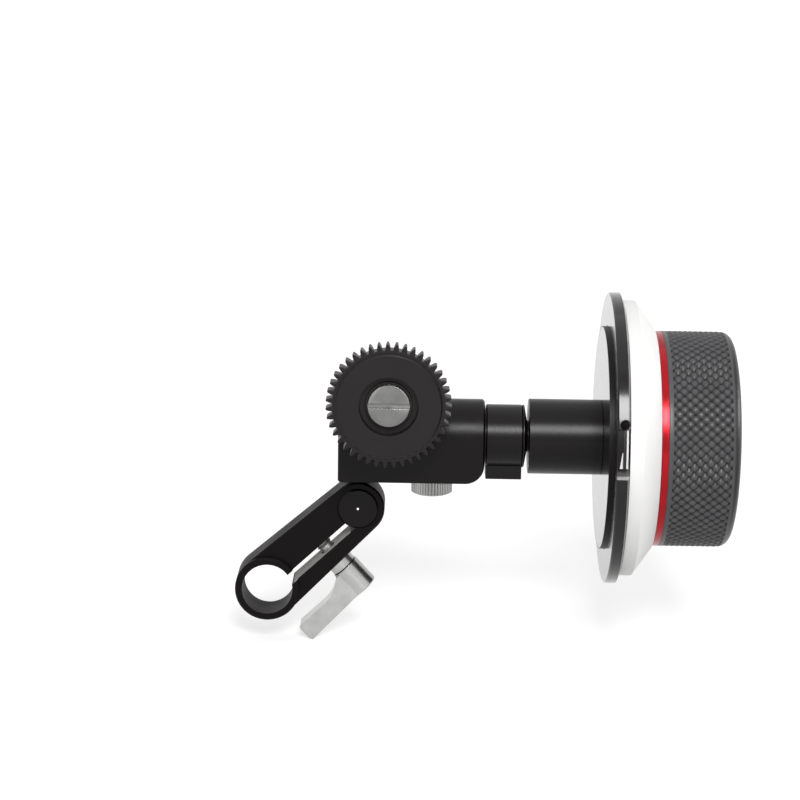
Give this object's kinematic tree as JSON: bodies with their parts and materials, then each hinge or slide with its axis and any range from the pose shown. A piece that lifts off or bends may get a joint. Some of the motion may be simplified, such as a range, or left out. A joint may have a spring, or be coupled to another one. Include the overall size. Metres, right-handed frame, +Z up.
{
  "type": "follow focus unit",
  "caption": "Single-sided follow focus: a knurled handwheel with a marking disc turns a toothed drive gear through a small gearbox on a swinging rod clamp.",
  "frame": {"origin": "centre of the 15 mm rod bore, in the middle of the link's thickness", "axes": "+X along the handwheel's axis towards the wheel, +Y back along the rod and the lens, +Z up"},
  "size_m": [0.1447, 0.0851, 0.1068],
  "materials": {
    "black_anodised": "black anodised aluminium, satin",
    "post_black": "black oxide steel, fine turned face",
    "hub_black": "black anodised aluminium, satin, turned",
    "wheel_knurl": "dark grey anodised aluminium with a diamond knurl",
    "red_anodised": "red anodised aluminium, turned",
    "gear_plastic": "black acetal, satin",
    "silver": "clear anodised aluminium, turned",
    "steel": "ground steel",
    "spring_steel": "blackened spring steel",
    "screw_steel": "black oxide screw steel",
    "bronze": "oiled sintered bronze",
    "nylon": "natural nylon",
    "marker_white": "white plastic, satin",
    "marker_black": "black plastic, satin",
    "disc_white": "white plastic that takes a pen, satin",
    "magnet_nickel": "nickel plated magnets",
    "keeper_steel": "bright steel sheet"
  },
  "bodies": {
    "link": {"link_arm": "black_anodised"},
    "lever": {"clamp_lever": "silver", "lever_collar": "silver", "clamp_screw": "steel", "lever_screw": "screw_steel"},
    "gearbox": {"gearbox_housing": "black_anodised", "rear_plate": "black_anodised", "plate_screws": "screw_steel", "post_screw": "screw_steel", "swing_post": "post_black", "idler_bushes": "bronze", "output_bushes": "bronze", "clamp_collar": "black_anodised", "collar_screw": "screw_steel", "spindle_tube": "black_anodised", "spindle_bush": "bronze", "spindle_bearing": "steel", "bearing_clip": "spring_steel", "index_flange": "black_anodised", "flange_screws": "screw_steel", "index_marker": "marker_white", "index_strip": "marker_black", "index_screw": "marker_black", "friction_pad": "nylon"},
    "friction": {"friction_screw": "silver"},
    "wheel": {"spindle": "steel", "input_bevel": "steel", "bevel_pin": "steel", "spindle_washer": "steel", "spindle_screw": "screw_steel", "wheel_hub": "hub_black", "disc_magnets": "magnet_nickel", "red_ring": "red_anodised", "handwheel": "wheel_knurl", "wheel_screws": "screw_steel", "wheel_cap": "hub_black", "cap_screws": "screw_steel"},
    "marking": {"marking_disc": "disc_white", "keeper_ring": "keeper_steel"},
    "idler": {"idler_shaft": "steel", "idler_bevel": "steel", "idler_spacer": "steel", "idler_spur": "steel"},
    "output": {"output_shaft": "steel", "output_spur": "steel", "drive_gear": "gear_plastic", "gear_screw": "silver"}
  },
  "joints": [
    {"name": "lever_turn", "type": "hinge", "parent": "link", "child": "lever", "pos_m": [0.01509, 0, 0.01402], "axis": [0.6807, 0, -0.7325], "range_deg": [0, 110]},
    {"name": "gearbox_swing", "type": "hinge", "parent": "link", "child": "gearbox", "pos_m": [0.02674, 0, 0.02485], "axis": [0, 1, 0], "range_deg": [-45, 60]},
    {"name": "handwheel_spin", "type": "hinge", "parent": "gearbox", "child": "wheel", "pos_m": [0.03571, -0.006, 0.04785], "axis": [1, 0, 0], "continuous": true},
    {"name": "disc_turn", "type": "hinge", "parent": "wheel", "child": "marking", "pos_m": [0.10611, -0.006, 0.04785], "axis": [1, 0, 0], "continuous": true},
    {"name": "idler_spin", "type": "hinge", "parent": "gearbox", "child": "idler", "pos_m": [0.03571, -0.006, 0.04785], "axis": [0, 1, 0], "continuous": true},
    {"name": "output_spin", "type": "hinge", "parent": "gearbox", "child": "output", "pos_m": [0.03571, -0.006, 0.06145], "axis": [0, 1, 0], "continuous": true},
    {"name": "friction_turn", "type": "hinge", "parent": "gearbox", "child": "friction", "pos_m": [0.04841, -0.006, 0.03585], "axis": [0, 0, 1], "range_deg": [-300, 60]}
  ],
  "couplings": [
    {"joint": "idler_spin", "follows": "handwheel_spin", "ratio": 1},
    {"joint": "output_spin", "follows": "handwheel_spin", "ratio": -1}
  ]
}
